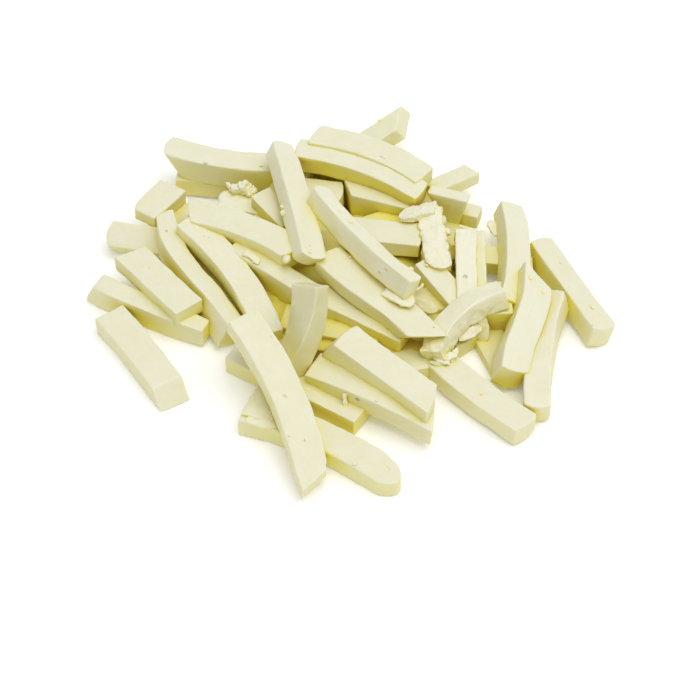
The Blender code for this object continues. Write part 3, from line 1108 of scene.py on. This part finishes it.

# %% [markdown]
# ## Painted shade in the nooks between the strips
# Far down between the strips the light is dim and yellow, as it has bounced from cheese to cheese.
# This shade is painted into the curd's colour: each point stores an amount of painted shade, which
# the materials turn into a darker yellow and, in the narrowest gaps, into brown. The amount is found
# by looking around from the point: the share of the directions that another face blocks within about
# a centimetre. A look down to the floor counts as two fifths, which paints shade on a strip's sides
# too: the light on them has come through the curd, which keeps back the blue. A face that looks up
# gets less painted shade than one that looks sideways, as the sky lights it, and less so in the core,
# which sees little of the sky. A few strips get less light than such short looks can tell, because
# much of the heap stands round them, so their sides, or a core strip's whole surface, get extra
# painted shade. A tree of all faces makes the looks quick, and a spiral of directions gives the same
# answer each time.

# %% Measure the painted shade
# How the painted shade is measured: the looks, their reach, and how the floor, the sky and the distance
# weigh in it
LOOKS = 24
REACH = 11.0
FLOOR_SHARE = 0.4
SKY_SHARE = 0.45
CORE_SKY_SHARE = 0.25
START_OFF = 0.2
FAR_LOSS = 0.5
SIDE_FADE = 1.5

# How much extra shade is painted on a strip that gets less light than the looks can tell
EXTRA_SHADE = {
    "mound": 0.25,
    "second_middle": 0.28,
    "second_front": 0.2,
    "second_right": 0.2,
    "below_front": 0.4,
    "below_post": 0.2,
    "below_top": 0.2,
    "top_front": 0.34,
    "beneath_top": 0.12,
    "back_shade": 0.2,
    "back_left": 0.08,
    "wedge": 0.08,
    "under_right": 0.2,
    "right_wave": 0.2,
    "front_under": 0.15,
    "front_low": 0.08,
    "shelf": 0.08,
    "hidden_middle": 0.1,
}
GOLDEN_ANGLE = math.pi * (3 - math.sqrt(5))


def spiral_of_looks(count):
    """Directions over the half sphere about +Z, closer together near the pole."""
    looks = []
    for number in range(count):
        up = math.sqrt(1 - (number + 0.5) / count)
        out = math.sqrt(1 - up * up)
        angle = number * GOLDEN_ANGLE
        looks.append(Vector((out * math.cos(angle), out * math.sin(angle), up)))
    return looks


def measure_painted_shade(thing, tree, looks, in_core):
    """Store how much shade is painted on each point, from 0 in the open to 1 in the narrowest gaps."""
    sky_share = CORE_SKY_SHARE if in_core else SKY_SHARE
    extra_shade = EXTRA_SHADE.get(thing.name, 0.0)
    painted_shades = []
    for point in thing.data.vertices:
        turn = Vector((0, 0, 1)).rotation_difference(point.normal)
        start = point.co + point.normal * START_OFF * MM
        share = 0.0
        for look in looks:
            direction = turn @ look
            distance = tree.ray_cast(start, direction, REACH * MM)[3]
            if distance is not None:
                share += 1 - FAR_LOSS * distance / (REACH * MM)
            elif direction.z < 0:
                share += FLOOR_SHARE
        # A face that looks up gets less painted shade, as the sky lights it; strips listed for extra shade
        # get more on their sides
        lit = sky_share * max(0.0, point.normal.z)
        side = 1.0 if in_core else max(0.0, 1 - SIDE_FADE * abs(point.normal.z))
        painted_shades.append(min(1.0, share / len(looks) * (1 - lit) + extra_shade * side))
    note(thing, "painted_shade", "FLOAT", painted_shades)


looks = spiral_of_looks(LOOKS)
everything = [mound, *bars.values(), *shreds, *crumbs]
heap_tree = tree_of(everything)
for thing in everything:
    measure_painted_shade(thing, heap_tree, looks, thing is mound or STRIPS.get(thing.name) in CORE_STRIPS)
print("looked around from every point,", LOOKS, "times each")

# %% [markdown]
# ## Rounding off and resting flat
# One level of Subdivision Surface rounds the bevels and gives enough points for small dimples. What
# would stand in the floor is cut off with Bisect, which also fills the cut, so a strip rests flat.

# %% Finish the strips
DIMPLE_DEPTH = 0.22
DIMPLE_SEED = 100


def subdivide(thing):
    """Subdivide an object once, which rounds it."""
    pick(thing)
    finer = thing.modifiers.new("finer", "SUBSURF")
    finer.levels = 1
    finer.render_levels = 1
    bpy.ops.object.modifier_apply(modifier=finer.name)


def rest_flat(thing):
    """Cut off what is below the floor."""
    if min(point.co.z for point in thing.data.vertices) >= 0:
        return
    edit(thing)
    bpy.ops.mesh.select_all(action="SELECT")
    bpy.ops.mesh.bisect(plane_co=(0, 0, 0), plane_no=(0, 0, 1), use_fill=True, clear_inner=True)
    bpy.ops.object.mode_set(mode="OBJECT")


for seed, (name, bar) in enumerate(bars.items()):
    if STRIPS[name] not in CORE_STRIPS:
        subdivide(bar)
        displace(bar, DIMPLES, DIMPLE_DEPTH, DIMPLE_SEED + seed)
    crumble(bar, STRIPS[name], seed)

other_curds = dict.fromkeys(TORN_STRIPS, torn_curd) | {"curl": skin_curd}
for name, thing in [("mound", mound), *bars.items()]:
    rest_flat(thing)
    thing.data.materials.append(other_curds.get(name, cut_curd))
for bit in [*shreds, *crumbs]:
    rest_flat(bit)
    bit.data.materials.append(torn_curd)
print(sum(len(bar.data.polygons) for bar in bars.values()), "faces after smoothing")

# %% [markdown]
# ## Pits
# Small bubbles in the curd are laid open where the blade meets them. Each pit is a flat uneven lump,
# pressed into the strip's face and taken away with a Boolean modifier. The lump's own points carry a
# fixed amount of painted shade, which the pit's floor takes on, so that it is painted a darker yellow.

# %% Take out the pits


class Pit(NamedTuple):
    """A pit at t along its strip, in millimetres to the left of its middle and above it."""

    strip: str
    t: float
    across: float
    height: float
    length: float
    width: float
    depth: float


PITS = [
    Pit("left_bow", -0.65, -0.7, 3.0, 1.1, 0.8, 0.45),
    Pit("left_wave", -0.67, -0.6, 4.4, 1.0, 0.7, 0.35),
    Pit("right_long", -0.41, 0.5, 3.4, 0.9, 0.7, 0.4),
    Pit("front_long", 0.02, -1.0, 3.0, 1.2, 0.8, 0.4),
    Pit("front_long", -0.64, 3.1, 3.0, 1.6, 0.6, 0.3),
    Pit("front_long", 0.55, -0.1, 3.0, 0.9, 0.6, 0.3),
    Pit("front_low", 0.78, 1.2, 3.0, 2.0, 0.7, 0.4),
    Pit("upright", 0.41, -0.6, 3.5, 1.3, 1.4, 0.5),
    Pit("front_pitted", -0.1, -4.6, 1.4, 1.5, 1.3, 1.2),
    Pit("middle", 0.58, -2.5, 0.9, 1.8, 0.9, 0.7),
    Pit("middle", 0.52, -2.5, -1.0, 1.1, 0.8, 0.6),
    Pit("top_back", 0.21, -2.3, 3.0, 2.0, 0.6, 0.35),
]
PIT_SPLITS = 3
# The amount of painted shade on a pit's floor
PIT_SHADE = 0.75
PIT_RAGGED = 0.4
PIT_SEED = 500
SIDE_SHARE = 0.45


def frame_at(strip, t):
    """The strip's middle at t, in millimetres, and its directions ahead, to its left and up."""
    ahead = (centre_line(strip, t + 0.01) - centre_line(strip, t - 0.01)).normalized()
    left = Vector((0, 0, 1)).cross(ahead).normalized()
    lean = Quaternion(ahead, math.radians(strip.roll + strip.twist * t / 2))
    return centre_line(strip, t), ahead, lean @ left, lean @ ahead.cross(left)


def take_out(bar, pit, seed):
    """Press one pit into its strip."""
    middle, ahead, left, up = frame_at(STRIPS[pit.strip], pit.t)
    place = middle + left * pit.across + up * pit.height
    if abs(pit.across) > SIDE_SHARE * STRIPS[pit.strip].width:
        left, up = up, left
    cutter = add_lump("pit", PIT_SPLITS, (pit.length, pit.width, 2 * pit.depth))
    note_curd(cutter, seed)
    note(cutter, "painted_shade", "FLOAT", [PIT_SHADE] * len(cutter.data.vertices))
    displace(cutter, CRUMBLE, PIT_RAGGED * pit.width, seed)
    cutter.matrix_world = Matrix.Translation(place * MM) @ Matrix((ahead, left, up)).transposed().to_4x4()
    change = bar.modifiers.new("pit", "BOOLEAN")
    change.operation = "DIFFERENCE"
    change.object = cutter
    pick(bar)
    bpy.ops.object.modifier_apply(modifier=change.name)
    bpy.data.objects.remove(cutter)


for seed, pit in enumerate(PITS, start=PIT_SEED):
    take_out(bars[pit.strip], pit, seed)
print(len(PITS), "pits")

# %% [markdown]
# ## Joining and handing over
# Strips of one part of the heap become one piece, so that the heap is a handful of meshes and not
# dozens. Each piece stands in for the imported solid, rides on its body, and keeps its material slot.

# %% Join the strips
CREASE = math.radians(50)


def join(name, things):
    """Join objects into one piece with its origin at the world's."""
    bpy.ops.object.select_all(action="DESELECT")
    for thing in things:
        thing.select_set(True)
    bpy.context.view_layer.objects.active = things[0]
    bpy.ops.object.join()
    piece = bpy.context.object
    bpy.ops.object.transform_apply(location=True, rotation=True, scale=True)
    bpy.ops.object.shade_smooth_by_angle(angle=CREASE)
    piece.name = name
    piece.data.name = name
    return piece


def hand_over(piece):
    """Hide the imported solid and attach the piece to the root body."""
    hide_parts(NODE)
    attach(piece, "root")


members = {name: [bars[strip.name] for strip in group] for name, group in GROUPS.items()}
members["strips_core"].append(mound)
members["torn_shreds"] = shreds
members["crumbs"] = crumbs
for name, things in members.items():
    piece = join(name, things)
    hand_over(piece)
    print(name, "has", len(piece.data.polygons), "faces")

# %% [markdown]
# ## Done
# The empty that guided the textures is removed.

# %% Finish
bpy.data.objects.remove(guide)
